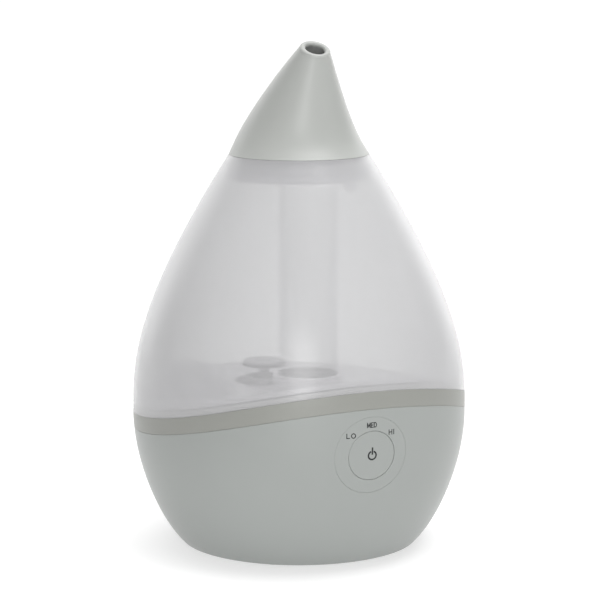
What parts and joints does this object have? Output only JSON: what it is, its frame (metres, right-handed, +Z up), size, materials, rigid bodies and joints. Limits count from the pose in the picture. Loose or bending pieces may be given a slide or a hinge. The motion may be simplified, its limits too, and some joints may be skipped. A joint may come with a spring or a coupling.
{
  "type": "cool mist humidifier",
  "caption": "Teardrop ultrasonic cool mist humidifier: lift-off translucent tank, turning mist nozzle, grey base with a round power button.",
  "frame": {"origin": "centre of the footprint on the surface it stands on, on the teardrop's axis", "axes": "+Z up; -Y is the front with the power button; +X is to the right as seen from the front"},
  "size_m": [0.19, 0.19, 0.2877],
  "materials": {
    "shell_grey": "satin moulded",
    "rim_grey": "satin moulded",
    "inner_plastic": "moulded",
    "tank_frosted": "frosted translucent",
    "clear_plastic": "clear, slightly violet",
    "white_plastic": "moulded",
    "rubber_dark": "matte",
    "steel": "bright",
    "aluminium": "milled",
    "copper": "enamelled wire",
    "board_green": "solder mask",
    "black_plastic": "moulded",
    "lamp": "clear epoxy",
    "capacitor_sleeve": "shrink sleeve",
    "reed_glass": "glass capsule",
    "magnet": "ferrite",
    "wire_black": "insulation",
    "wire_pale": "insulation",
    "wire_red": "insulation",
    "legend_ink": "pad printed"
  },
  "bodies": {
    "base": {"base_housing": "shell_grey", "rim_band": "rim_grey", "reservoir_deck": "rim_grey", "bottom_cover": "shell_grey", "rubber_feet": "rubber_dark", "cover_screws": "steel", "control_ring": "shell_grey", "control_board": "board_green", "board_screws": "steel", "tact_switch": "black_plastic", "speed_lamps": "lamp", "transducer_disc": "steel", "transducer_seal": "rubber_dark", "transducer_holder": "aluminium", "holder_screws": "steel", "driver_board": "board_green", "driver_screws": "steel", "heat_sink": "aluminium", "power_transistor": "black_plastic", "driver_coil": "copper", "board_capacitors": "capacitor_sleeve", "board_connectors": "white_plastic", "reed_switch": "reed_glass", "fan_frame": "black_plastic", "fan_stator": "copper", "air_duct": "white_plastic", "fan_screws": "steel", "float_clip": "white_plastic", "dc_jack": "black_plastic", "jack_pin": "steel", "panel_wires": "wire_pale", "transducer_wires": "wire_red", "fan_wires": "wire_black", "jack_wires": "wire_black", "reed_wires": "wire_pale"},
    "tank": {"tank_shell": "tank_frosted", "neck_ring": "clear_plastic", "mist_chimney": "clear_plastic", "tank_floor": "clear_plastic"},
    "carrier": {"nozzle_skirt": "clear_plastic"},
    "nozzle": {"mist_nozzle": "shell_grey", "nozzle_bearing": "inner_plastic"},
    "cap": {"tank_cap": "white_plastic", "cap_gasket": "rubber_dark"},
    "valve": {"valve_plunger": "white_plastic", "valve_seal": "rubber_dark", "valve_clip": "steel", "valve_spring": "steel"},
    "button": {"power_button": "shell_grey"},
    "fan": {"fan_rotor": "black_plastic", "fan_shaft": "steel"},
    "float": {"water_float": "white_plastic", "float_magnet": "magnet"}
  },
  "joints": [
    {"name": "tank_lift", "type": "slide", "parent": "base", "child": "tank", "axis": [0, 0, 1], "range_m": [0, 0.08]},
    {"name": "nozzle_lift", "type": "slide", "parent": "tank", "child": "carrier", "axis": [0, 0, 1], "range_m": [0, 0.04]},
    {"name": "nozzle_spin", "type": "hinge", "parent": "carrier", "child": "nozzle", "pos_m": [0, 0, 0.2255], "axis": [0, 0, 1], "continuous": true},
    {"name": "cap_turn", "type": "hinge", "parent": "tank", "child": "cap", "pos_m": [0, 0.05, 0.07], "axis": [0, 0, -1], "range_deg": [0, 60]},
    {"name": "valve_close", "type": "slide", "parent": "cap", "child": "valve", "axis": [0, 0, 1], "range_m": [-0.006, 0], "deforming": ["valve_spring"]},
    {"name": "button_press", "type": "slide", "parent": "base", "child": "button", "axis": [0, 0.9962, 0.0877], "range_m": [0, 0.001], "stiffness_N_per_m": 500},
    {"name": "fan_spin", "type": "hinge", "parent": "base", "child": "fan", "pos_m": [-0.0514, 0.0297, 0.035], "axis": [0, 0, 1], "continuous": true},
    {"name": "float_rise", "type": "slide", "parent": "base", "child": "float", "axis": [0, 0, 1], "range_m": [0, 0.0125]}
  ],
  "couplings": [
    {"joint": "valve_close", "follows": "tank_lift", "ratio": -0.075}
  ]
}
